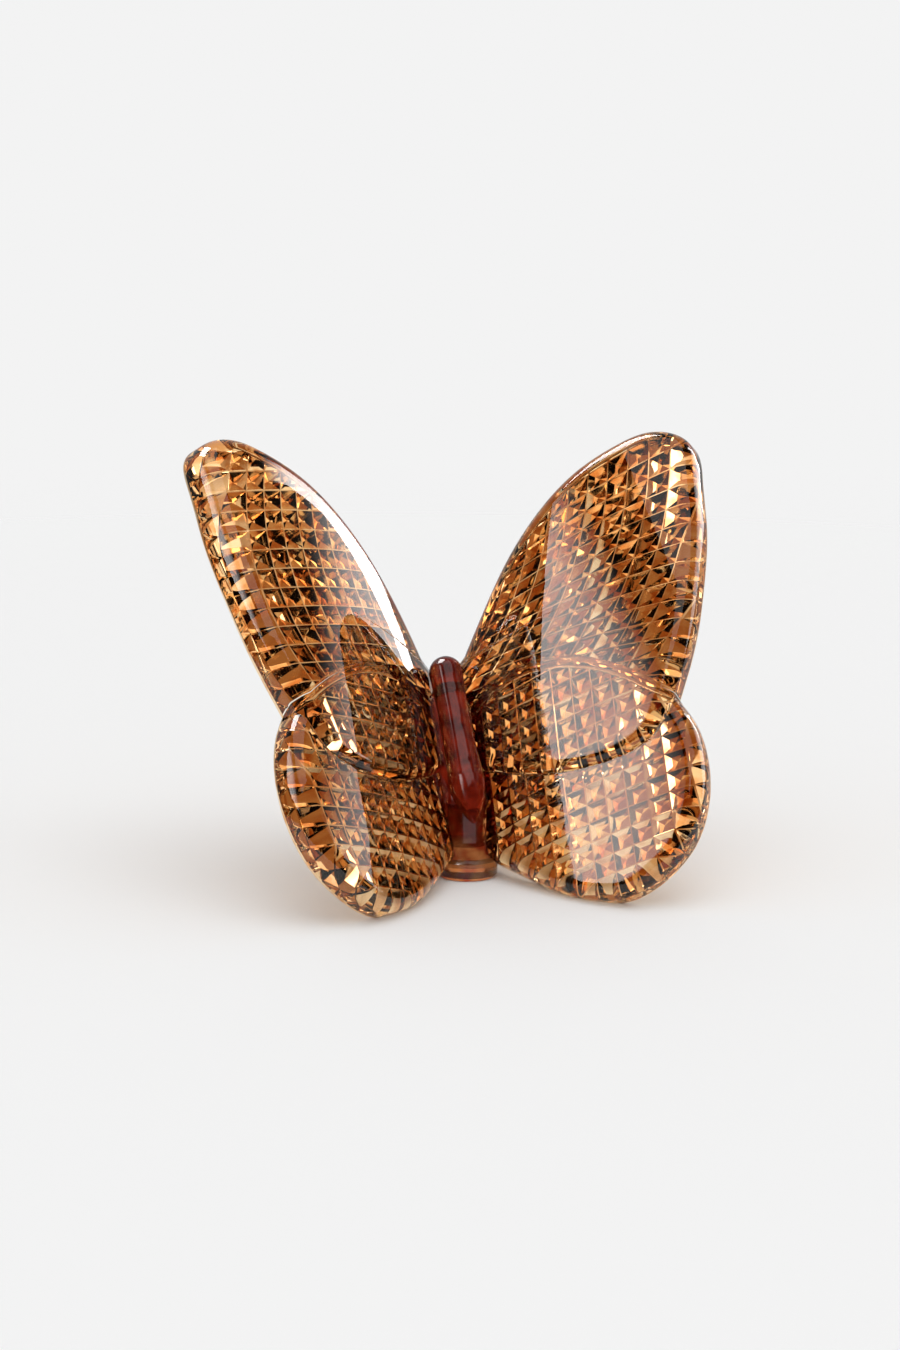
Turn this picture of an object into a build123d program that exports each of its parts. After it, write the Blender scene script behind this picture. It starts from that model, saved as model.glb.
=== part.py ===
from build123d import *
import math
import os

# A butterfly ornament cast in amber crystal. It leans back on its foot with its wings open in a V, and
# stands on the foot's flat base and on the lowest edge of each hindwing.
# Frame: millimetres, +Z up, +X to the right seen from the front, the front faces -Y.
# The origin is the centre of the foot's flat base, on the surface that the ornament stands on.
# The casting is divided where its members meet, and each member is one solid.

# Stance
lean = 38.5  # how far the body tilts back from upright, degrees
opening = 53.0  # angle of each wing from the plane that halves the V at its front, degrees
hinge_height = 13.0  # height of the point where the two wing planes cross, above the foot's centre
hinge_forward = 0.1  # how far that point lies in front of the foot's centre

# Wings
bow_radius = 55.0  # each glossy front bulges across the wing with this radius
bow_crest = 19.8  # distance of the bulge's highest line from the hinge line
arch_radius = 325.0  # radius of the much slighter bulge along the wing
forewing_thickness = 4.5
hindwing_thickness = 4.2
hindwing_step = 0.6  # how far the hindwing's front lies behind the forewing's
lap_depth = 2.0  # thickness of forewing that lies over the hindwing
rim_round = 1.8  # rounding of the front rims
back_round = 0.8  # rounding of the back rims
root_inset = 1.5  # how far each wing runs on past the hinge line, into the body

# Forewing, measured out from the hinge line and up along the body
forewing_span = 37.2
forewing_root_top = 20.3
forewing_tip_height = 44.0
notch_out = 29.3
notch_up = 3.3
forewing_root_bottom = 3.9
forewing_low_point = 3.5

# Hindwing
hindwing_span = 31.3
hindwing_arc_top = 14.8
hindwing_arc_root = 11.3
hindwing_bottom = 21.4
hindwing_root_bottom = 9.0

# Body: the slim round front with the pointed tail, and the thick spine behind it
body_radius = 2.1
body_top = 19.6
tail_length = 6.2
tail_swell = 2.45
tail_tip_radius = 0.3
head_radius = 2.3
body_tilt = 6.0  # the body leans back this much more than the wings, degrees
body_sink = 0.9  # depth of the body's axis behind the hinge point
spine_radius = 4.2
spine_depth = 6.3  # depth of the spine's axis behind the hinge line
spine_top = 16.2
spine_bottom = 6.5
spine_end_radius = 1.8

# Relief on the backs of the wings: crossing V grooves leave rows of diamond points
forewing_pitch = 3.0  # spacing of the points
hindwing_pitch = 2.6
relief_height = 1.2
relief_blunt = 0.15  # how far the tips of the points stop short of the smooth back
relief_border = 1.2  # width of the plain border inside each wing's outline
arc_border = 0.5  # width of the plain border of the forewing along the hindwing
relief_root = 1.5  # the relief starts this far out from the hinge line
field_sides = 40  # the relief ends at a polygon of this many sides

# Foot
base_radius = 4.1
base_edge = 0.4
base_height = 2.3
neck_radius = 2.6
flare_height = 5.2
foot_height = 9.5

overrun = 2.0  # how far cutting solids run past what they cut
face_match = 0.01  # an edge this near a bowed face lies on it

# Shares of a wing's own sizes, as (out, up) points along its outline
leading_edge_shares = [(0.10, 0.19), (0.23, 0.44), (0.38, 0.67), (0.58, 0.88), (0.74, 0.972)]
tip_shares = (0.875, 1.0)
trailing_edge_shares = [(0.985, 0.94), (1.0, 0.80), (0.985, 0.60), (0.94, 0.385), (0.875, 0.18)]
lower_edge_shares = [(0.88, -0.5), (0.65, -1.0), (0.34, -0.55)]
arc_shares = [(0.90, 0.26), (0.72, 0.64), (0.46, 0.94), (0.31, 1.0), (0.14, 0.93)]
outer_edge_shares = [(0.975, -0.02), (1.0, 0.27), (0.96, 0.57), (0.86, 0.81), (0.725, 0.945)]
bottom_shares = (0.58, 1.0)
inner_edge_shares = [(0.45, 0.96), (0.31, 0.86), (0.17, 0.70)]

# Shares of the body's, spine's and foot's own sizes
waist_share = 0.5
taper_middle_share = 0.8
tail_middle_shares = (0.72, 0.55)
flare_middle_share = 0.6
flare_slope = 0.3
hidden_share = 0.9  # an edge this far into the root is hidden in the body

lean_angle = math.radians(lean)
opening_angle = math.radians(opening)
lateral = Vector(1, 0, 0)
along_body = Vector(0, math.sin(lean_angle), math.cos(lean_angle))
out_of_back = Vector(0, -math.cos(lean_angle), math.sin(lean_angle))
hinge_point = Vector(0, -hinge_forward, hinge_height)
wing_outward = lateral * math.sin(opening_angle) + out_of_back * math.cos(opening_angle)
wing_front = lateral * -math.cos(opening_angle) + out_of_back * math.sin(opening_angle)
wing_plane = Plane(origin=hinge_point, x_dir=wing_outward, z_dir=wing_front)


def forewing_outline():
    """Outline of the right forewing in its own plane, from the root round the tip to the lower edge."""
    rise = forewing_tip_height - forewing_root_top
    drop = forewing_tip_height - notch_up
    root = (-root_inset, forewing_root_top - root_inset)
    shoulder = (0, forewing_root_top)
    leading = [(x * forewing_span, forewing_root_top + y * rise) for x, y in leading_edge_shares]
    tip = (tip_shares[0] * forewing_span, tip_shares[1] * forewing_tip_height)
    trailing = [(x * forewing_span, notch_up + y * drop) for x, y in trailing_edge_shares]
    notch = (notch_out, notch_up)
    lower = [(x * notch_out, y * forewing_low_point) for x, y in lower_edge_shares]
    root_low = (-root_inset, forewing_root_bottom)
    with BuildSketch() as outline:
        with BuildLine():
            Line(root, shoulder)
            Spline(shoulder, *leading, tip, *trailing, notch)
            Spline(notch, *lower, root_low)
            Line(root_low, root)
        make_face()
    return outline.sketch


def hindwing_outline():
    """Outline of the right hindwing in its own plane, from the root over the arc to the bottom."""
    root = (-root_inset, hindwing_arc_root)
    notch = (notch_out, notch_up)
    arc = [(x * notch_out, notch_up + y * (hindwing_arc_top - notch_up)) for x, y in arc_shares]
    outer = [(x * hindwing_span, -y * hindwing_bottom) for x, y in outer_edge_shares]
    bottom = (bottom_shares[0] * hindwing_span, -bottom_shares[1] * hindwing_bottom)
    inner = [(x * hindwing_span, -y * hindwing_bottom) for x, y in inner_edge_shares]
    root_low = (-root_inset, -hindwing_root_bottom)
    with BuildSketch() as outline:
        with BuildLine():
            Spline(root, *reversed(arc), notch)
            Spline(notch, *outer, bottom, *inner, root_low)
            Line(root_low, root)
        make_face()
    return outline.sketch


def bowed_solid(depth):
    """The solid behind a bowed face that lies this deep below the forewing's front."""
    place = Location((bow_crest, 0, -arch_radius), (0, 90, 0))
    return place * Torus(major_radius=arch_radius - bow_radius, minor_radius=bow_radius - depth)


def prism(outline):
    """An outline drawn out through the whole thickness of the wings."""
    reach = max(forewing_span, hindwing_span) + root_inset
    bow_drop = reach ** 2 / (2 * bow_radius)
    depth = bow_drop + forewing_thickness + hindwing_thickness + overrun
    to_front = Vector(0, 0, 1)
    return extrude(outline, amount=overrun, dir=to_front) + extrude(outline, amount=depth, dir=-to_front)


def plate(outline, front_depth, back_depth):
    """A bowed plate of this outline between two depths."""
    return prism(outline) & (bowed_solid(front_depth) - bowed_solid(back_depth))


def rounded_rims(wing, front_depth, back_depth):
    """The wing with its front and back rims rounded, but for its end that is hidden in the body."""
    ring_radius = arch_radius - bow_radius
    for depth, rounding in ((front_depth, rim_round), (back_depth, back_round)):
        rim = []
        for edge in wing.edges():
            middle = edge @ 0.5
            off_ring = math.hypot(middle.Y, middle.Z + arch_radius) - ring_radius
            radius = math.hypot(middle.X - bow_crest, off_ring)
            on_face = abs(radius - (bow_radius - depth)) < face_match
            hidden = middle.X < -hidden_share * root_inset
            if on_face and not hidden:
                rim.append(edge)
        wing = fillet(rim, rounding)
    return wing


def faceted(outline, grow):
    """The outline moved outwards by this much, as a polygon of short sides."""
    rim = offset(outline, amount=grow).wire()
    return Polygon(*[rim @ (number / field_sides) for number in range(field_sides)], align=None)


def comb(radius, half_width, pitch):
    """Row of V teeth in a plane, on an arc of this radius that passes through the plane's origin."""
    steps = 2 * math.ceil(half_width / pitch)
    teeth = []
    for step in range(-steps, steps + 1):
        turn = step * pitch / 2 / radius
        reach = radius + (relief_blunt if step % 2 else relief_height)
        teeth.append((reach * math.sin(turn), reach * math.cos(turn) - radius))
    turn = steps * pitch / 2 / radius
    behind = radius - overrun
    for side in (1, -1):
        teeth.append((side * behind * math.sin(turn), behind * math.cos(turn) - radius))
    return Polygon(*teeth, align=None)


def chords(centre, radius, sideways, half_width, length):
    """Straight chords, end to end, along an arc of this radius about the centre."""
    count = math.ceil(half_width / length)
    turns = [number * length / radius for number in range(-count, count + 1)]
    to_front = Vector(0, 0, radius)
    return Polyline(*[centre + to_front * math.cos(turn) + sideways * radius * math.sin(turn) for turn in turns])


def grooves(path, radius, half_width, pitch):
    """Side by side V grooves that follow the path."""
    along = path % 0
    toward_front = Vector(0, 0, 1) - along * along.Z
    seat = Plane(origin=path @ 0, x_dir=toward_front.cross(along), z_dir=along)
    return sweep(seat * comb(radius, half_width, pitch), path=path, transition=Transition.RIGHT)


def relief(field, back_depth, pitch):
    """What crossing V grooves take out of a wing's back within the field."""
    bow = bow_radius - back_depth
    arch = arch_radius - back_depth
    half_out = bow_crest + root_inset
    half_up = forewing_tip_height
    across = chords(Vector(bow_crest, 0, -bow_radius), bow, Vector(1, 0, 0), half_out, 2 * pitch)
    upward = chords(Vector(bow_crest, 0, -arch_radius), arch, Vector(0, 1, 0), half_up, 4 * pitch)
    field_prism = prism(field)
    rows = field_prism & grooves(across, arch, half_up, pitch)
    columns = field_prism & grooves(upward, bow, half_out, pitch)
    return rows + columns


def make_spine():
    """Solid of the thick spine between the wing roots: a dome, a straight stretch and a tapered end."""
    dome_start = spine_top - spine_radius
    taper_start = (spine_radius, 0)
    taper_middle = ((spine_radius + spine_end_radius) / 2, -taper_middle_share * spine_bottom)
    taper_end = (spine_end_radius, -spine_bottom)
    with BuildSketch(Plane.XZ) as half:
        with BuildLine():
            CenterArc((0, dome_start), spine_radius, 0, 90)
            Line((spine_radius, dome_start), taper_start)
            ThreePointArc(taper_start, taper_middle, taper_end)
            Polyline(taper_end, (0, -spine_bottom), (0, spine_top))
        make_face()
    seat = Plane(origin=hinge_point - out_of_back * spine_depth, x_dir=-out_of_back, z_dir=along_body)
    return seat * revolve(half.sketch, axis=Axis.Z)


def make_slim_body():
    """Solid of the slim round body: a domed head, a slight waist and a pointed tail."""
    dome_start = body_top - head_radius
    waist = (body_radius, waist_share * dome_start)
    swell = (tail_swell, 0)
    tail_middle = (tail_middle_shares[0] * tail_swell, -tail_middle_shares[1] * tail_length)
    tail_end = (tail_tip_radius, -tail_length)
    tilted = math.radians(lean + body_tilt)
    axis = Vector(0, math.sin(tilted), math.cos(tilted))
    front = Vector(0, -math.cos(tilted), math.sin(tilted))
    with BuildSketch(Plane.XZ) as half:
        with BuildLine():
            CenterArc((0, dome_start), head_radius, 0, 90)
            ThreePointArc((head_radius, dome_start), waist, swell)
            ThreePointArc(swell, tail_middle, tail_end)
            Polyline(tail_end, (0, -tail_length), (0, body_top))
        make_face()
    seat = Plane(origin=hinge_point - out_of_back * body_sink, x_dir=front, z_dir=axis)
    return seat * revolve(half.sketch, axis=Axis.Z)


def make_foot():
    """Solid of the flared foot, with its flat base on the ground."""
    with BuildSketch(Plane.XZ) as half:
        with BuildLine():
            Polyline((0, 0), (base_radius - base_edge, 0), (base_radius, base_edge), (base_radius, base_height))
            Spline(
                (base_radius, base_height),
                ((base_radius + neck_radius) / 2, flare_middle_share * flare_height),
                (neck_radius, flare_height),
                tangents=[(-1, flare_slope), (0, 1)],
            )
            Polyline((neck_radius, flare_height), (neck_radius, foot_height), (0, foot_height), (0, 0))
        make_face()
    return revolve(half.sketch, axis=Axis.Z)


def above_ground(solid):
    """The solid ground flat where it would reach below the surface that it stands on."""
    size = 4 * (forewing_span + forewing_tip_height)
    ground = Pos(0, 0, -size / 2) * Box(size, size, size)
    return solid - ground


def write(name, shape):
    """Write one node's solid to its STEP file."""
    shape = Compound(label=name, children=list(shape.solids()))
    export_step(shape, f"parts/{name}.step")


os.makedirs("parts", exist_ok=True)

forewing_face = forewing_outline()
hindwing_face = hindwing_outline()

body = make_slim_body() + make_spine()
foot = make_foot() - body

over_hindwing = prism(hindwing_face) & bowed_solid(lap_depth)
forewing = rounded_rims(plate(forewing_face, 0, forewing_thickness), 0, forewing_thickness)
forewing = forewing - over_hindwing
under_forewing = prism(forewing_face) - bowed_solid(lap_depth)
hindwing_back = hindwing_step + hindwing_thickness
hindwing = rounded_rims(plate(hindwing_face, hindwing_step, hindwing_back), hindwing_step, hindwing_back)
hindwing = hindwing - under_forewing

size = forewing_span + forewing_tip_height
beyond_root = Pos(relief_root + size / 2, 0) * Rectangle(size, 2 * size)
beside_hindwing = beyond_root - faceted(hindwing_face, arc_border)
forewing_field = faceted(forewing_face, -relief_border) & beside_hindwing
hindwing_field = faceted(hindwing_face, -relief_border) & beyond_root
forewing_relief = relief(forewing_field, forewing_thickness, forewing_pitch)
hindwing_relief = relief(hindwing_field, hindwing_back, hindwing_pitch)

for name, wing, cut in (
    ("forewing", forewing, forewing_relief),
    ("hindwing", hindwing, hindwing_relief),
):
    right = above_ground(wing_plane * wing - body - foot) - wing_plane * cut
    left = mirror(right, about=Plane.YZ)
    write(f"right_{name}", right)
    write(f"left_{name}", left)

write("body", body)
write("foot", foot)
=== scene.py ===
"""A butterfly ornament pressed in amber crystal, with polished bowed fronts and diamond points behind.

Frame: metres, +Z up, +X to the right seen from the front, the front faces -Y. The origin is the centre of
the foot's flat base. Each wing is drawn in its own plane, as (out, up) points from the line where the two
wing planes cross, and then bowed and turned into place.
"""

import copy
import math

import bmesh
import bpy
import numpy as np
from bpy.props import FloatProperty, FloatVectorProperty, IntProperty, PointerProperty
from mathutils import Matrix, Quaternion, Vector


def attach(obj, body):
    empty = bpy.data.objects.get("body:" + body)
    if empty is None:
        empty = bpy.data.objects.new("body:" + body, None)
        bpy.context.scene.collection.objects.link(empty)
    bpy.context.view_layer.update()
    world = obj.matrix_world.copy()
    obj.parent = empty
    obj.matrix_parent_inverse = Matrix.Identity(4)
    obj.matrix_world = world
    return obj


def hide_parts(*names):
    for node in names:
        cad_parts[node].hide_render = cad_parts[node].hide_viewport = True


bl_info = {
    "name": "Crystal Butterfly Ornament",
    "version": (1, 0, 0),
    "blender": (4, 5, 0),
    "location": "3D View > Sidebar > Butterfly",
    "description": "Builds an amber crystal butterfly with polished fronts and diamond-point backs",
    "category": "Add Mesh",
}

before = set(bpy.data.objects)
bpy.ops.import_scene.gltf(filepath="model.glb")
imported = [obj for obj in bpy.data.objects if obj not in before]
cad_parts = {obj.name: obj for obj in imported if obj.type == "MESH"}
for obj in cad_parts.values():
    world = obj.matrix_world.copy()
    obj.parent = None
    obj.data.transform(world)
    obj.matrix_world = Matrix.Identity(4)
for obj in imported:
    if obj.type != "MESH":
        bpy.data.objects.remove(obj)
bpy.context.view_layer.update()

MM = 0.001

# Stance, as in the solids
LEAN = math.radians(38.5)
OPENING = math.radians(53.0)
HINGE = Vector((0, -0.1, 13.0)) * MM
LATERAL = Vector((1, 0, 0))
ALONG_BODY = Vector((0, math.sin(LEAN), math.cos(LEAN)))
OUT_OF_BACK = Vector((0, -math.cos(LEAN), math.sin(LEAN)))

# Outlines of the right wings in millimetres, from the hidden root all the way round
ROOT_INSET = 1.5
FOREWING_ROOT = [(-1.5, 3.9), (-1.5, 18.8), (0.0, 20.3)]
FOREWING_OUTER = [
    (0.0, 20.3), (3.72, 24.8), (8.56, 30.73), (14.14, 36.18), (21.58, 41.16), (27.53, 43.34), (32.55, 44.0),
    (36.64, 41.56), (37.2, 35.86), (36.64, 27.72), (34.97, 18.97), (32.55, 10.63), (29.3, 3.3),
]
FOREWING_LOWER = [(29.3, 3.3), (25.78, -1.75), (19.05, -3.5), (9.96, -1.93), (-1.5, 3.9)]
HINDWING_ARC = [
    (-1.5, 11.3), (4.1, 14.0), (9.08, 14.8), (13.48, 14.11), (21.1, 10.66), (26.37, 6.29), (29.3, 3.3),
]
HINDWING_OUTER = [
    (29.3, 3.3), (30.52, 0.43), (31.3, -5.78), (30.05, -12.2), (26.92, -17.33), (22.69, -20.22), (18.15, -21.4),
    (14.09, -20.54), (9.7, -18.4), (5.32, -14.98), (-1.5, -9.0),
]
HINDWING_ROOT = [(-1.5, -9.0), (-1.5, 11.3)]

RIM_START = 1 - 2 * MM  # where a wing's rim starts: the outline is at 1, and the rest is true metres
RIM_STEPS = 7
WELD = 1e-7
SHALLOW = 0.05 * MM  # how far the diamond points stay below the plain back
TOOL_DEPTH = 4 * MM
LATTICE_CELLS = 24

# Which finish each face of a wing has while it is shaped, and the materials of the finished ones
CRYSTAL, LUSTRE, JOINT, RELIEF = range(4)
WING_MATERIALS = ("polished_amber", "gold_lustre", "within_the_casting")

# Painted glow: the body and foot are painted amber below the first height and dark above the second, in millimetres
PAINTED_GLOW_LOW, PAINTED_GLOW_HIGH = 3, 8

# Where the photograph's camera stands, and what it points at
CAMERA_EYE = Vector((-87.6, -348.9, 99.2)) * MM
CAMERA_RIGHT = Vector((0.9704, -0.2413, 0.0105))
CAMERA_UP = Vector((0.0464, 0.2290, 0.9723))
CAMERA_BACK = Vector((-0.2370, -0.9431, 0.2334))
FOCAL_PIXELS = 2800
PHOTO_SIZE = (900, 1350)
HINGE_PIXEL = (468.2, 780)


class WingSizes(bpy.types.PropertyGroup):
    """Sizes that all four wings share."""

    bow_radius: FloatProperty(
        name="Bow Radius", description="Radius of the bulge across a wing", default=0.055, unit="LENGTH"
    )
    bow_crest: FloatProperty(
        name="Bow Crest", description="Distance of the bulge's crest from the hinge", default=0.0198, unit="LENGTH"
    )
    arch_radius: FloatProperty(
        name="Arch Radius", description="Radius of the bulge along a wing", default=0.325, unit="LENGTH"
    )
    forewing_thickness: FloatProperty(
        name="Forewing Thickness", description="Front to back of a forewing", default=0.0045, unit="LENGTH"
    )
    hindwing_thickness: FloatProperty(
        name="Hindwing Thickness", description="Front to back of a hindwing", default=0.0042, unit="LENGTH"
    )
    hindwing_step: FloatProperty(
        name="Hindwing Step", description="Depth of the hindwing's front behind the forewing's", default=0.0006,
        unit="LENGTH",
    )
    lap_depth: FloatProperty(
        name="Lap Depth", description="Thickness of forewing over the hindwing", default=0.002, unit="LENGTH"
    )
    rim_round: FloatProperty(
        name="Rim Rounding", description="Rounding of the front rims", default=0.0018, unit="LENGTH"
    )
    back_round: FloatProperty(
        name="Back Rounding", description="Rounding of the back rims", default=0.0008, unit="LENGTH"
    )
    outline_steps: IntProperty(
        name="Outline Steps", description="Points round each wing", default=200, min=40
    )
    face_rings: IntProperty(
        name="Face Rings", description="Rings of faces from a wing's middle to its rim", default=26, min=4
    )


class ReliefSizes(bpy.types.PropertyGroup):
    """The diamond points on the backs of the wings."""

    height: FloatProperty(
        name="Point Height", description="Height of a diamond point over its groove", default=0.0012, unit="LENGTH"
    )
    land: FloatProperty(
        name="Groove Land", description="Flat width between two diamond points", default=0.00024, unit="LENGTH"
    )
    border: FloatProperty(
        name="Smooth Border", description="Width of the plain border round the relief", default=0.0012, unit="LENGTH"
    )
    arc_border: FloatProperty(
        name="Arc Border", description="Plain width of forewing above the hindwing's arc", default=0.0005,
        unit="LENGTH",
    )


class CrystalLook(bpy.types.PropertyGroup):
    """Colours and finish of the crystal."""

    amber: FloatVectorProperty(
        name="Amber", description="Tint of the clear crystal", subtype="COLOR", default=(0.985, 0.89, 0.73)
    )
    deep_amber: FloatVectorProperty(
        name="Deep Amber", description="Streaks in the clear crystal", subtype="COLOR", default=(0.955, 0.8, 0.58)
    )
    lustre: FloatVectorProperty(
        name="Lustre", description="Gold lustre on the backs", subtype="COLOR", default=(0.95, 0.73, 0.47)
    )
    bronze: FloatVectorProperty(
        name="Bronze", description="Darker patches of the lustre", subtype="COLOR", default=(0.78, 0.43, 0.19)
    )
    body: FloatVectorProperty(
        name="Body", description="Thickest crystal of the body", subtype="COLOR", default=(0.06, 0.002, 0.001)
    )
    streak: FloatVectorProperty(
        name="Streak", description="Red streaks in the body", subtype="COLOR", default=(0.3, 0.02, 0.006)
    )
    # Painted glow: amber painted low on the tail and foot, standing in for light glowing through the crystal there
    painted_glow: FloatVectorProperty(
        name="Glow", description="Thin crystal at the tail and the foot's edge", subtype="COLOR",
        default=(0.75, 0.3, 0.09),
    )
    index: FloatProperty(name="Refractive Index", description="Bending of light in the crystal", default=1.54)


class StudioLook(bpy.types.PropertyGroup):
    """Floor, backdrop and light."""

    pale: FloatProperty(name="Floor", description="Grey level of the floor", default=0.9, subtype="FACTOR")
    backdrop: FloatProperty(name="Backdrop", description="Grey level of the backdrop", default=0.896)
    ambient: FloatProperty(name="Ambient", description="Light of the room itself", default=0.79)
    dim_side: FloatVectorProperty(
        name="Dim Side", description="Room in front, as seen through the crystal", subtype="COLOR",
        default=(0.36, 0.17, 0.07),
    )
    bright_side: FloatVectorProperty(
        name="Bright Side", description="Room behind, as seen through the crystal", subtype="COLOR",
        default=(1.35, 1.3, 1.2),
    )
    mirrored_dim: FloatVectorProperty(
        name="Mirrored Dim Side", description="Room in front, as mirrored by the polished fronts",
        subtype="COLOR", default=(0.05, 0.02, 0.01),
    )
    mirrored_bright: FloatVectorProperty(
        name="Mirrored Bright Side", description="Room behind, as mirrored by the polished fronts",
        subtype="COLOR", default=(0.6, 0.6, 0.6),
    )
    floor_radius: FloatProperty(name="Floor Radius", description="Size of the floor", default=20, unit="LENGTH")
    floor_fade: FloatProperty(
        name="Floor Fade", description="Distance at which the floor has become the backdrop", default=0.45,
        unit="LENGTH",
    )


FADE_START_SHARE = 0.3  # the floor starts to fade at this share of its fade distance

# Where the room's dim side ends and its bright side starts, as shares of the way from the front to the back
SEEN_SHARES = (0.35, 1.0)
MIRRORED_SHARES = (0.6, 0.9)

# Softboxes: name, azimuth, elevation and roll, width and height in degrees, radiance, colour, the edges where it
# dies out as (axis, full share, dark share), and what shows it: the polished "surface", all "crystal" or the "room"
LAMP_DISTANCE = 2.0
STAGE_CENTRE = Vector((0, 0, 28)) * MM
NEUTRAL, SOFT_WHITE = (1, 1, 1), (1, 0.95, 0.94)
SOFTBOXES = [
    ("top_softbox", (20, 78, 0), (50, 50), 1.0, NEUTRAL, (), "room"),
    ("right_softbox", (107, 18, 0), (46, 32), 2.9, SOFT_WHITE, (("X", 0.12, 0), ("Y", 0.55, 1)), "surface"),
    ("right_strip", (122, 23, 26), (3, 44), 9.0, SOFT_WHITE, (("Y", 0.75, 1),), "surface"),
    ("left_softbox", (-74, 39, 0), (40, 46), 5.5, SOFT_WHITE, (("X", 0.5, 1), ("Y", 0.6, 0.87)), "surface"),
    ("back_softbox", (-145, 60, 0), (30, 26), 14.0, SOFT_WHITE, (), "surface"),
    ("front_right_lamp", (60, 40, 0), (16, 16), 4.0, SOFT_WHITE, (), "crystal"),
    ("front_left_lamp", (-50, 30, 0), (16, 16), 4.0, SOFT_WHITE, (), "crystal"),
    ("high_right_lamp", (100, 60, 0), (16, 16), 4.0, SOFT_WHITE, (), "crystal"),
    ("back_left_lamp", (-120, 15, 0), (16, 16), 4.0, SOFT_WHITE, (), "crystal"),
]

SETTINGS = {
    "butterfly_wings": WingSizes,
    "butterfly_relief": ReliefSizes,
    "butterfly_crystal": CrystalLook,
    "butterfly_studio": StudioLook,
}


def curve_through(points):
    """Finely spaced points on the smoothest curve through the given points."""
    points = np.array(points, float)
    steps = np.linalg.norm(np.diff(points, axis=0), axis=1)
    count = len(points)
    system = np.eye(count)
    right = np.zeros((count, 2))
    for i in range(1, count - 1):
        before, after = steps[i - 1], steps[i]
        system[i, i - 1 : i + 2] = before, 2 * (before + after), after
        right[i] = 6 * ((points[i + 1] - points[i]) / after - (points[i] - points[i - 1]) / before)
    bends = np.linalg.solve(system, right)
    fine = []
    for i in range(count - 1):
        step = steps[i]
        for share in np.linspace(0, 1, 24, endpoint=False):
            along, back = share * step, (1 - share) * step
            value = (bends[i] * back**3 + bends[i + 1] * along**3) / (6 * step)
            value = value + (points[i] / step - bends[i] * step / 6) * back
            value = value + (points[i + 1] / step - bends[i + 1] * step / 6) * along
            fine.append(value)
    fine.append(points[-1])
    return np.array(fine)


class Outline:
    """A closed wing outline with evenly spaced points, their inward directions and the stretch that mates."""

    def __init__(self, stretches, mating, count):
        """Stretches are lists of fine points in metres, counter-clockwise, and mating is the one that mates."""
        lengths = [np.linalg.norm(np.diff(s, axis=0), axis=1).sum() for s in stretches]
        counts = [max(2, round(count * length / sum(lengths))) for length in lengths]
        counts[0] += count - sum(counts)
        places, mates = [], []
        for i, (stretch, number) in enumerate(zip(stretches, counts)):
            run = np.concatenate([[0], np.cumsum(np.linalg.norm(np.diff(stretch, axis=0), axis=1))])
            even = np.linspace(0, run[-1], number, endpoint=False)
            places.append(np.stack([np.interp(even, run, stretch[:, 0]), np.interp(even, run, stretch[:, 1])], 1))
            mates += [i == mating] * number
        self.points = np.concatenate(places)
        self.mates = mates
        along = np.roll(self.points, -1, axis=0) - np.roll(self.points, 1, axis=0)
        along /= np.linalg.norm(along, axis=1, keepdims=True)
        self.inward = np.stack([-along[:, 1], along[:, 0]], 1)
        self.centre = (self.points.min(axis=0) + self.points.max(axis=0)) / 2
        # The rounding dies out towards the root, which is hidden in the body
        self.rounded = np.clip(1 + self.points[:, 0] / (ROOT_INSET * MM), 0, 1)

    def grown(self, distance):
        """A like outline that lies this far outside this one, or inside it where the distance is negative."""
        other = copy.copy(self)
        other.points = self.points - self.inward * distance * self.rounded[:, None]
        return other

    def place(self, number, radius):
        """The point of the flattened disc at this step round it and this share of the way to the outline."""
        rim = self.points[number]
        if radius > RIM_START:
            inset = (1 - radius) * self.rounded[number]
            return rim + self.inward[number] * inset
        edge = rim + self.inward[number] * (1 - RIM_START) * self.rounded[number]
        return self.centre + (edge - self.centre) * radius / RIM_START


def metres(points):
    """Points in millimetres as an array in metres."""
    return np.array(points, float) * MM


def forewing_outline(count):
    lower = curve_through(metres(FOREWING_LOWER))[::-1]
    outer = curve_through(metres(FOREWING_OUTER))[::-1]
    return Outline([lower, outer, metres(FOREWING_ROOT)[::-1]], 0, count)


def hindwing_outline(count):
    arc = curve_through(metres(HINDWING_ARC))[::-1]
    outer = curve_through(metres(HINDWING_OUTER))[::-1]
    return Outline([outer, arc, metres(HINDWING_ROOT)[::-1]], 1, count)


def turned_disc(profile, count):
    """A closed disc turned from (radius, depth) rows, from the middle of its front to the middle of its back."""
    bm = bmesh.new()
    verts = [bm.verts.new((radius, 0, depth)) for radius, depth in profile]
    edges = [bm.edges.new(pair) for pair in zip(verts, verts[1:])]
    bmesh.ops.spin(bm, geom=verts + edges, axis=(0, 0, 1), angle=math.tau, steps=count, use_merge=True)
    bmesh.ops.remove_doubles(bm, verts=bm.verts, dist=WELD)
    return bm


def on_outline(profile, outline, finish):
    """A turned disc pushed out to a wing's outline, with depth in z. finish(depth, mates) gives each face's finish."""
    count = len(outline.points)
    bm = turned_disc(profile, count)
    steps = {}
    for vert in bm.verts:
        number = round(math.atan2(vert.co.y, vert.co.x) / math.tau * count) % count
        steps[vert] = (number, math.hypot(vert.co.x, vert.co.y))
    for face in bm.faces:
        depth = sum(vert.co.z for vert in face.verts) / len(face.verts)
        mates = any(outline.mates[steps[vert][0]] for vert in face.verts)
        face.material_index = finish(depth, mates)
    for vert, (number, radius) in steps.items():
        vert.co.x, vert.co.y = outline.place(number, radius)
    return faced_outwards(bm)


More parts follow.
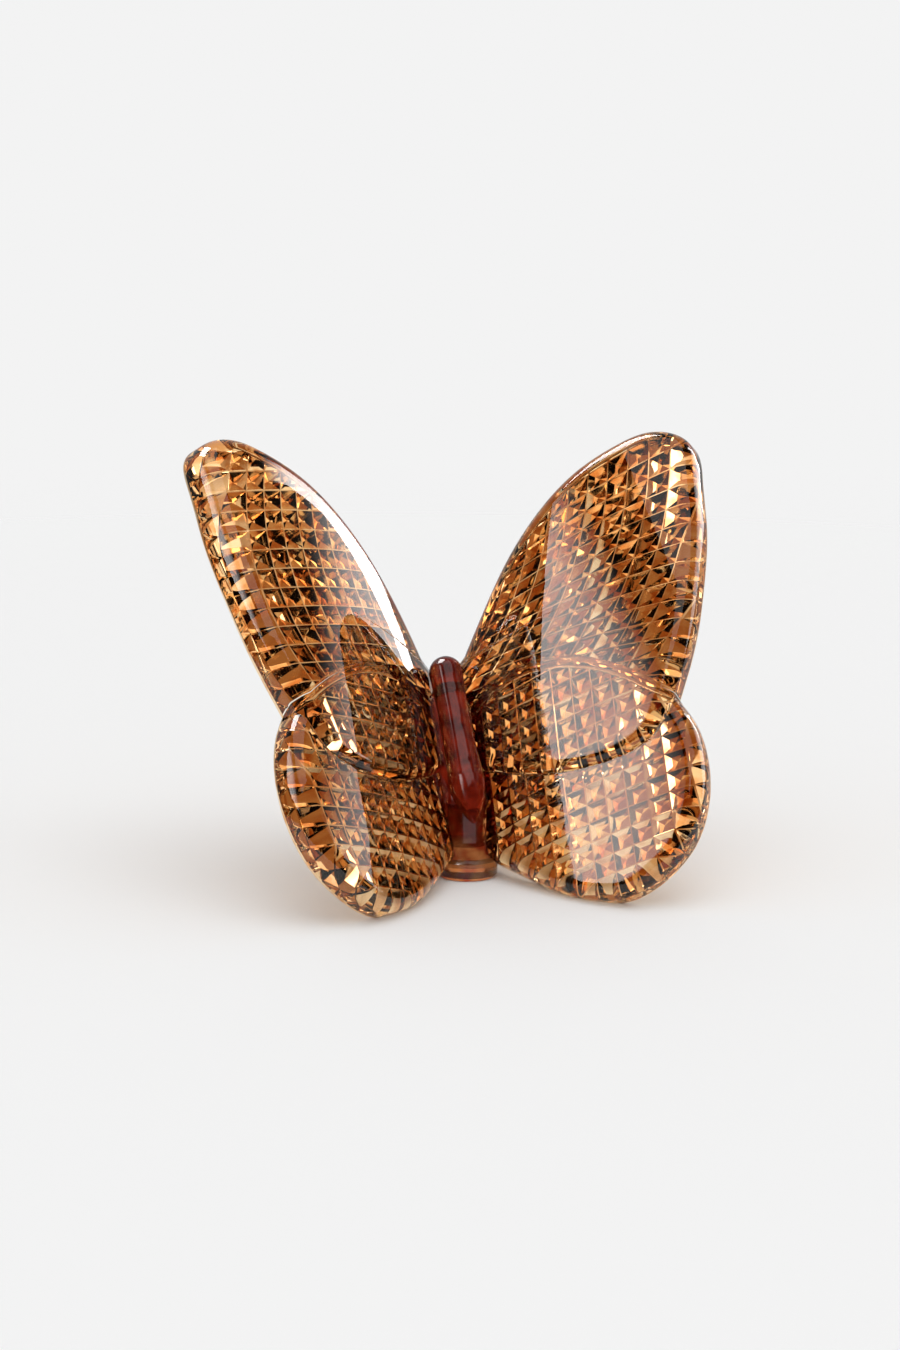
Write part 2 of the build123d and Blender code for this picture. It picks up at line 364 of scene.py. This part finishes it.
def wing_plate(outline, sizes, front, thickness):
    """A flat wing with rounded rims, its front at this depth."""
    back = front + thickness
    rings = np.linspace(0, RIM_START, sizes.face_rings)
    profile = [(radius, front) for radius in rings]
    for turn in np.linspace(0, math.pi / 2, RIM_STEPS):
        inset = sizes.rim_round * (1 - math.sin(turn))
        profile.append((1 - inset, front + sizes.rim_round * (1 - math.cos(turn))))
    for turn in np.linspace(0, math.pi / 2, RIM_STEPS):
        inset = sizes.back_round * (1 - math.cos(turn))
        profile.append((1 - inset, back - sizes.back_round * (1 - math.sin(turn))))
    profile += [(radius, back) for radius in rings[::-1]]

    def finish(depth, mates):
        if depth > back - sizes.back_round:
            return LUSTRE
        if depth > front + sizes.rim_round and mates:
            return JOINT
        return CRYSTAL

    return on_outline(profile, outline, finish)


def prism(outline, top, bottom, rings, finish):
    """A straight-sided solid of a wing's outline between two depths, all in one finish."""
    shares = np.linspace(0, 1, rings)
    profile = [(share, top) for share in shares] + [(share, bottom) for share in shares[::-1]]
    return on_outline(profile, outline, lambda depth, mates: finish)


def faced_outwards(bm):
    """The closed bmesh with every face's normal outwards."""
    bm.normal_update()
    bmesh.ops.recalc_face_normals(bm, faces=bm.faces)
    return bm


def combined(target, tool, operation):
    """The target after a boolean with the tool. Both bmeshes are used up."""
    objects = []
    for bm in (target, tool):
        mesh = bpy.data.meshes.new("shaping")
        bm.to_mesh(mesh)
        bm.free()
        for _ in (CRYSTAL, LUSTRE, JOINT, RELIEF):
            mesh.materials.append(bpy.data.materials["polished_amber"])
        objects.append(bpy.data.objects.new("shaping", mesh))
        bpy.context.scene.collection.objects.link(objects[-1])
    cut = objects[0].modifiers.new("Combined", "BOOLEAN")
    cut.operation = operation
    cut.object = objects[1]
    cut.solver = "EXACT"
    cut.material_mode = "INDEX"
    result = bmesh.new()
    result.from_object(objects[0], bpy.context.evaluated_depsgraph_get())
    for shaped in objects:
        mesh = shaped.data
        bpy.data.objects.remove(shaped)
        bpy.data.meshes.remove(mesh)
    if not result.faces:
        raise RuntimeError(f"a {operation.lower()} left nothing of the wing")
    return result


def diamond_points(lattice, relief, back):
    """A closed tool that presses diamond points into a back at this depth, with a flat land round each."""
    base = back - SHALLOW - relief.height
    pitch = np.linalg.norm(lattice.row)
    bm = bmesh.new()
    bmesh.ops.create_grid(bm, x_segments=LATTICE_CELLS, y_segments=LATTICE_CELLS, size=LATTICE_CELLS / 2)
    cells = list(bm.faces)
    bmesh.ops.inset_individual(bm, faces=cells, thickness=relief.land / pitch / 2)
    bmesh.ops.poke(bm, faces=cells, offset=relief.height, center_mode="MEAN")
    sheet = list(bm.faces)
    far = bmesh.ops.extrude_face_region(bm, geom=sheet)
    for vert in bm.verts:
        vert.co.z += base
    for item in far["geom"]:
        if isinstance(item, bmesh.types.BMVert):
            item.co.z = base + TOOL_DEPTH
    for vert in bm.verts:
        vert.co.x, vert.co.y = lattice.place(vert.co.x, vert.co.y)
    for face in bm.faces:
        face.material_index = RELIEF
    return faced_outwards(bm)


def bowed(out, up, depth, sizes):
    """Height over the wing's plane of a point this deep below the bowed front."""
    across = sizes.bow_radius - depth
    ring = sizes.arch_radius - sizes.bow_radius
    off_crest = out - sizes.bow_crest
    reach = ring + math.sqrt(across**2 - off_crest**2)
    return math.sqrt(reach**2 - up**2) - sizes.arch_radius


def into_place(bm, side, sizes):
    """Bows a flat wing and turns it into place on the right (side 1) or the left (side -1)."""
    for vert in bm.verts:
        vert.co.z = bowed(vert.co.x, vert.co.y, vert.co.z, sizes)
    outward = LATERAL * math.sin(OPENING) + OUT_OF_BACK * math.cos(OPENING)
    front = OUT_OF_BACK * math.sin(OPENING) - LATERAL * math.cos(OPENING)
    turned = Matrix((outward, ALONG_BODY, front)).transposed().to_4x4()
    place = Matrix.Scale(side, 4, LATERAL) @ Matrix.Translation(HINGE) @ turned
    bmesh.ops.transform(bm, matrix=place, verts=bm.verts)
    bmesh.ops.bisect_plane(
        bm, geom=list(bm.verts) + list(bm.edges) + list(bm.faces), plane_co=(0, 0, 0), plane_no=(0, 0, -1),
        clear_outer=True,
    )
    rims = [edge for edge in bm.edges if edge.is_boundary]
    if rims:
        bmesh.ops.holes_fill(bm, edges=rims)
    faced_outwards(bm)


def finished_wing(name, bm):
    """The object of a shaped wing, which replaces the solid of the same name."""
    for face in bm.faces:
        face.smooth = face.material_index != RELIEF
        if face.material_index == RELIEF:
            face.material_index = LUSTRE
    mesh = bpy.data.meshes.new(name)
    bm.to_mesh(mesh)
    bm.free()
    for material in WING_MATERIALS:
        mesh.materials.append(bpy.data.materials[material])
    wing = bpy.data.objects.new(f"{name}_crystal", mesh)
    bpy.context.scene.collection.objects.link(wing)
    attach(wing, "root")
    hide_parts(name)
    return wing


class Lattice:
    """The crossing grooves of one wing: evenly spaced at its middle, and fanning out from there."""

    def __init__(self, middle, row, column, curl, fan):
        self.middle, self.row, self.column = metres(middle), metres(row), metres(column)
        self.curl, self.fan = metres(curl), metres(fan)

    def place(self, along, across):
        return (
            self.middle + self.row * along + self.column * across
            + self.curl * across**2 + self.fan * along * across
        )


# Each wing's own pressing, in millimetres
LATTICES = {
    "right_forewing": Lattice((27, 25), (3.15, 0.28), (1.15, 2.68), (-0.07, 0.058), (-0.04, 0.125)),
    "left_forewing": Lattice((26, 28), (2.79, -0.80), (0.0, 3.0), (-0.12, 0.06), (0.0, 0.0)),
    "right_hindwing": Lattice((15, -5), (2.79, 0.24), (0.134, 2.57), (0.0, 0.0), (0.0, 0.0)),
    "left_hindwing": Lattice((15, -5), (2.43, -0.30), (0.794, 2.44), (0.0, 0.0), (0.0, 0.0)),
}


def node(tree, kind, settings=(), **inputs):
    """A new node with these settings, and these values on its inputs, named with _ for each space."""
    made = tree.nodes.new(kind)
    for name, value in dict(settings).items():
        setattr(made, name, value)
    for name, value in inputs.items():
        made.inputs[name.replace("_", " ")].default_value = value
    return made


def waves(tree, length, detail=2.0):
    """A value that wanders over the piece, in waves about this long."""
    place = node(tree, "ShaderNodeTexCoord")
    noise = node(tree, "ShaderNodeTexNoise", Scale=1 / length, Detail=detail)
    tree.links.new(place.outputs["Object"], noise.inputs["Vector"])
    return noise.outputs["Fac"]


def between(tree, value, low, high, start=0.35, end=0.65):
    """The value turned into one that runs from low to high while it runs from start to end."""
    spread = node(tree, "ShaderNodeMapRange", From_Min=start, From_Max=end, To_Min=low, To_Max=high)
    tree.links.new(value, spread.inputs["Value"])
    return spread.outputs["Result"]


def toned(tree, value, *tones):
    """A colour that runs through these (place, colour) tones with the value."""
    ramp = node(tree, "ShaderNodeValToRGB")
    stops = ramp.color_ramp.elements
    while len(stops) < len(tones):
        stops.new(1)
    for stop, (place, colour) in zip(stops, tones):
        stop.position = place
        stop.color = (*colour, 1)
    tree.links.new(value, ramp.inputs["Fac"])
    return ramp.outputs["Color"]


def rippled(tree, shader, length, height):
    """Gives the surface soft ripples about this long and high."""
    bump = node(tree, "ShaderNodeBump", Distance=height)
    tree.links.new(waves(tree, length), bump.inputs["Height"])
    tree.links.new(bump.outputs["Normal"], shader.inputs["Normal"])


def new_material(name):
    material = bpy.data.materials.new(name)
    material.use_nodes = True
    return material.node_tree, material.node_tree.nodes["Principled BSDF"]


def polished_amber(look):
    """Clear pressed crystal with faint streaks, a little wavy like all pressed glass."""
    tree, shader = new_material("polished_amber")
    tint = toned(tree, waves(tree, 6 * MM), (0.35, look.deep_amber), (0.6, look.amber))
    tree.links.new(tint, shader.inputs["Base Color"])
    tree.links.new(between(tree, waves(tree, 3 * MM), 0.0, 0.015), shader.inputs["Roughness"])
    rippled(tree, shader, 7 * MM, 0.01 * MM)
    shader.inputs["Transmission Weight"].default_value = 1
    shader.inputs["IOR"].default_value = look.index


def gold_lustre(look):
    """The metal lustre on the backs, fired on unevenly."""
    tree, shader = new_material("gold_lustre")
    tone = toned(tree, waves(tree, 2.5 * MM), (0.38, look.bronze), (0.55, look.lustre))
    tree.links.new(tone, shader.inputs["Base Color"])
    tree.links.new(between(tree, waves(tree, 1 * MM), 0.02, 0.07), shader.inputs["Roughness"])
    rippled(tree, shader, 1.5 * MM, 0.003 * MM)
    shader.inputs["Metallic"].default_value = 1


def within_the_casting():
    """Where two members of the casting join there is no surface to see."""
    tree, shader = new_material("within_the_casting")
    shader.inputs["Alpha"].default_value = 0


def dark_crystal(look):
    """Thick crystal: deep red with streaks, and a painted amber glow low on the tail and round the foot."""
    tree, shader = new_material("dark_crystal")
    place = node(tree, "ShaderNodeTexCoord")
    split = node(tree, "ShaderNodeSeparateXYZ")
    tree.links.new(place.outputs["Object"], split.inputs["Vector"])
    both = node(tree, "ShaderNodeMath", {"operation": "ADD"})
    # Painted glow: amber painted by height, full below the first height and gone above the second
    tree.links.new(between(tree, split.outputs["Z"], 0.5, 0, PAINTED_GLOW_LOW * MM, PAINTED_GLOW_HIGH * MM), both.inputs[0])
    tree.links.new(between(tree, waves(tree, 2.5 * MM), 0, 0.5), both.inputs[1])
    tone = toned(tree, both.outputs["Value"], (0, look.body), (0.5, look.streak), (1, look.painted_glow))
    tree.links.new(tone, shader.inputs["Base Color"])
    tree.links.new(between(tree, waves(tree, 2 * MM), 0.05, 0.12), shader.inputs["Roughness"])
    rippled(tree, shader, 4 * MM, 0.03 * MM)
    shader.inputs["Transmission Weight"].default_value = 0.75
    shader.inputs["IOR"].default_value = look.index


class BUTTERFLY_OT_materials(bpy.types.Operator):
    """Make the ornament's materials."""

    bl_idname = "butterfly.materials"
    bl_label = "Make Materials"

    def execute(self, context):
        look = context.scene.butterfly_crystal
        polished_amber(look)
        gold_lustre(look)
        within_the_casting()
        dark_crystal(look)
        return {"FINISHED"}


class BUTTERFLY_OT_forewings(bpy.types.Operator):
    """Add the two upper wings."""

    bl_idname = "butterfly.forewings"
    bl_label = "Add Forewings"

    def execute(self, context):
        sizes, relief = context.scene.butterfly_wings, context.scene.butterfly_relief
        outline = forewing_outline(sizes.outline_steps)
        hindwing = hindwing_outline(sizes.outline_steps)
        back = sizes.forewing_thickness
        beyond = back + TOOL_DEPTH
        for side, name in ((1, "right_forewing"), (-1, "left_forewing")):
            wing = wing_plate(outline, sizes, 0, back)
            under = prism(hindwing, sizes.lap_depth, beyond, sizes.face_rings, JOINT)
            wing = combined(wing, under, "DIFFERENCE")
            points = diamond_points(LATTICES[name], relief, back)
            field = prism(outline.grown(-relief.border), back / 2, beyond, 2, LUSTRE)
            points = combined(points, field, "INTERSECT")
            arc = prism(hindwing.grown(relief.arc_border), -back, 2 * beyond, 2, LUSTRE)
            points = combined(points, arc, "DIFFERENCE")
            wing = combined(wing, points, "DIFFERENCE")
            into_place(wing, side, sizes)
            finished_wing(name, wing)
        return {"FINISHED"}


class BUTTERFLY_OT_hindwings(bpy.types.Operator):
    """Add the two lower wings."""

    bl_idname = "butterfly.hindwings"
    bl_label = "Add Hindwings"

    def execute(self, context):
        sizes, relief = context.scene.butterfly_wings, context.scene.butterfly_relief
        outline = hindwing_outline(sizes.outline_steps)
        forewing = forewing_outline(sizes.outline_steps)
        back = sizes.hindwing_step + sizes.hindwing_thickness
        beyond = back + TOOL_DEPTH
        for side, name in ((1, "right_hindwing"), (-1, "left_hindwing")):
            wing = wing_plate(outline, sizes, sizes.hindwing_step, sizes.hindwing_thickness)
            over = prism(forewing, -TOOL_DEPTH, sizes.lap_depth, sizes.face_rings, JOINT)
            wing = combined(wing, over, "DIFFERENCE")
            points = diamond_points(LATTICES[name], relief, back)
            field = prism(outline.grown(-relief.border), back / 2, beyond, 2, LUSTRE)
            points = combined(points, field, "INTERSECT")
            wing = combined(wing, points, "DIFFERENCE")
            into_place(wing, side, sizes)
            finished_wing(name, wing)
        return {"FINISHED"}


class BUTTERFLY_OT_body(bpy.types.Operator):
    """Dress the body and the foot."""

    bl_idname = "butterfly.body"
    bl_label = "Dress Body and Foot"

    def execute(self, context):
        for name in ("body", "foot"):
            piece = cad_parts[name]
            for slot in piece.material_slots:
                slot.material = bpy.data.materials["dark_crystal"]
        return {"FINISHED"}


def direction(azimuth, elevation):
    """A direction by its turn from the front towards the right and its height, in degrees."""
    turn, rise = math.radians(azimuth), math.radians(elevation)
    return Vector((math.sin(turn) * math.cos(rise), -math.cos(turn) * math.cos(rise), math.sin(rise)))


def softbox(name, aim, extent, radiance, colour, fades, shown_in):
    """A lamp that the ornament sees as a rectangle this wide and high in degrees, turned by its roll."""
    azimuth, elevation, roll = aim
    width, height = (2 * LAMP_DISTANCE * math.tan(math.radians(angle) / 2) for angle in extent)
    lamp = bpy.data.lights.new(name, "AREA")
    lamp.shape = "RECTANGLE"
    lamp.size, lamp.size_y = width, height
    lamp.color = colour
    lamp.energy = radiance * math.pi * width * height
    if fades:
        fade_edges(lamp, fades)
    box = bpy.data.objects.new(name, lamp)
    towards = direction(azimuth, elevation)
    box.location = STAGE_CENTRE + towards * LAMP_DISTANCE
    box.rotation_mode = "QUATERNION"
    box.rotation_quaternion = towards.to_track_quat("Z", "Y") @ Quaternion((0, 0, 1), math.radians(roll))
    box.visible_camera = False
    box.visible_diffuse = shown_in == "room"
    box.visible_glossy = shown_in != "crystal"
    box.visible_transmission = shown_in != "surface"
    bpy.context.scene.collection.objects.link(box)


def fade_edges(lamp, fades):
    """Lets the lamp die out softly towards the edges that are named."""
    lamp.use_nodes = True
    tree = lamp.node_tree
    spot = node(tree, "ShaderNodeNewGeometry")
    split = node(tree, "ShaderNodeSeparateXYZ")
    tree.links.new(spot.outputs["Parametric"], split.inputs["Vector"])
    level = None
    for axis, full, dark in fades:
        ramp = node(
            tree, "ShaderNodeMapRange", {"interpolation_type": "SMOOTHSTEP"},
            From_Min=full, From_Max=dark, To_Min=1, To_Max=0,
        )
        tree.links.new(split.outputs[axis], ramp.inputs["Value"])
        if level is None:
            level = ramp.outputs["Result"]
            continue
        both = node(tree, "ShaderNodeMath", {"operation": "MULTIPLY"})
        tree.links.new(level, both.inputs[0])
        tree.links.new(ramp.outputs["Result"], both.inputs[1])
        level = both.outputs["Value"]
    tree.links.new(level, tree.nodes["Emission"].inputs["Strength"])


class BUTTERFLY_OT_stage(bpy.types.Operator):
    """Set the floor, the lights and the camera."""

    bl_idname = "butterfly.stage"
    bl_label = "Set Stage"

    def execute(self, context):
        studio = context.scene.butterfly_studio
        set_floor(studio)
        set_world(studio)
        for lamp in SOFTBOXES:
            softbox(*lamp)
        set_camera()
        context.scene.view_settings.view_transform = "Standard"
        return {"FINISHED"}


def set_floor(studio):
    bm = bmesh.new()
    bmesh.ops.create_circle(bm, cap_ends=True, segments=96, radius=studio.floor_radius)
    mesh = bpy.data.meshes.new("floor")
    bm.to_mesh(mesh)
    bm.free()
    floor = bpy.data.objects.new("floor", mesh)
    bpy.context.scene.collection.objects.link(floor)
    material = bpy.data.materials.new("pale_floor")
    material.use_nodes = True
    tree = material.node_tree
    nodes, links = tree.nodes, tree.links
    shader = nodes["Principled BSDF"]
    shader.inputs["Base Color"].default_value = (studio.pale,) * 3 + (1,)
    shader.inputs["Roughness"].default_value = 0.9
    shader.inputs["Specular IOR Level"].default_value = 0
    place = nodes.new("ShaderNodeTexCoord")
    length = nodes.new("ShaderNodeVectorMath")
    length.operation = "LENGTH"
    fade = nodes.new("ShaderNodeMapRange")
    fade.interpolation_type = "SMOOTHSTEP"
    fade.inputs["From Min"].default_value = studio.floor_fade * FADE_START_SHARE
    fade.inputs["From Max"].default_value = studio.floor_fade
    fade.inputs["To Min"].default_value = 1
    fade.inputs["To Max"].default_value = 0
    links.new(place.outputs["Object"], length.inputs[0])
    links.new(length.outputs["Value"], fade.inputs["Value"])
    links.new(fade.outputs["Result"], shader.inputs["Alpha"])
    mesh.materials.append(material)


def set_world(studio):
    """A pale backdrop, an even room light, and a room with a dim and a bright side for crystal and polish."""
    world = bpy.data.worlds.new("studio")
    bpy.context.scene.world = world
    world.use_nodes = True
    tree = world.node_tree
    place = node(tree, "ShaderNodeTexCoord")
    split = node(tree, "ShaderNodeSeparateXYZ")
    tree.links.new(place.outputs["Generated"], split.inputs["Vector"])
    backwards = between(tree, split.outputs["Y"], 0, 1, -1, 1)
    (dim, bright), (mirrored_dim, mirrored_bright) = SEEN_SHARES, MIRRORED_SHARES
    seen = toned(tree, backwards, (dim, studio.dim_side), (bright, studio.bright_side))
    mirrored = toned(
        tree, backwards, (mirrored_dim, studio.mirrored_dim), (mirrored_bright, studio.mirrored_bright)
    )
    plain = node(tree, "ShaderNodeRGB")
    plain.outputs["Color"].default_value = (studio.backdrop,) * 3 + (1,)
    level = node(tree, "ShaderNodeRGB")
    level.outputs["Color"].default_value = (studio.ambient,) * 3 + (1,)
    path = node(tree, "ShaderNodeLightPath")
    colour = level.outputs["Color"]
    for ray, shown in (
        ("Is Glossy Ray", mirrored), ("Is Transmission Ray", seen), ("Is Camera Ray", plain.outputs["Color"])
    ):
        mix = node(tree, "ShaderNodeMixRGB")
        tree.links.new(path.outputs[ray], mix.inputs["Fac"])
        tree.links.new(colour, mix.inputs["Color1"])
        tree.links.new(shown, mix.inputs["Color2"])
        colour = mix.outputs["Color"]
    tree.links.new(colour, tree.nodes["Background"].inputs["Color"])


def set_camera():
    """Stands the camera where the photograph's camera stood."""
    camera = bpy.data.objects.new("camera", bpy.data.cameras.new("camera"))
    bpy.context.scene.collection.objects.link(camera)
    bpy.context.scene.camera = camera
    camera.data.lens = camera.data.sensor_width * FOCAL_PIXELS / PHOTO_SIZE[1]
    sideways = PHOTO_SIZE[0] / 2 - HINGE_PIXEL[0]
    upwards = HINGE_PIXEL[1] - PHOTO_SIZE[1] / 2
    back = (CAMERA_BACK * FOCAL_PIXELS - CAMERA_RIGHT * sideways - CAMERA_UP * upwards).normalized()
    right = (CAMERA_RIGHT - back * CAMERA_RIGHT.dot(back)).normalized()
    turned = Matrix((right, back.cross(right), back)).transposed()
    camera.location = CAMERA_EYE
    camera.rotation_mode = "QUATERNION"
    camera.rotation_quaternion = turned.to_quaternion()
    camera.data.clip_start = 10 * MM
    camera.data.clip_end = 50


class BUTTERFLY_PT_panel(bpy.types.Panel):
    """Lists the steps that build the ornament."""

    bl_idname = "BUTTERFLY_PT_panel"
    bl_label = "Crystal Butterfly"
    bl_space_type = "VIEW_3D"
    bl_region_type = "UI"
    bl_category = "Butterfly"

    def draw(self, context):
        for name, group in SETTINGS.items():
            box = self.layout.box()
            for setting in group.__annotations__:
                box.prop(getattr(context.scene, name), setting)
        for step in STEPS:
            self.layout.operator(step.bl_idname)


STEPS = (
    BUTTERFLY_OT_materials,
    BUTTERFLY_OT_forewings,
    BUTTERFLY_OT_hindwings,
    BUTTERFLY_OT_body,
    BUTTERFLY_OT_stage,
)


def register():
    for group in SETTINGS.values():
        bpy.utils.register_class(group)
    for step in STEPS:
        bpy.utils.register_class(step)
    bpy.utils.register_class(BUTTERFLY_PT_panel)
    for name, group in SETTINGS.items():
        setattr(bpy.types.Scene, name, PointerProperty(type=group))


def unregister():
    for name in SETTINGS:
        delattr(bpy.types.Scene, name)
    bpy.utils.unregister_class(BUTTERFLY_PT_panel)
    for kind in (*STEPS, *SETTINGS.values()):
        bpy.utils.unregister_class(kind)


def main():
    register()
    bpy.ops.butterfly.materials()
    bpy.ops.butterfly.forewings()
    bpy.ops.butterfly.hindwings()
    bpy.ops.butterfly.body()
    bpy.ops.butterfly.stage()


if __name__ == "__main__":
    main()
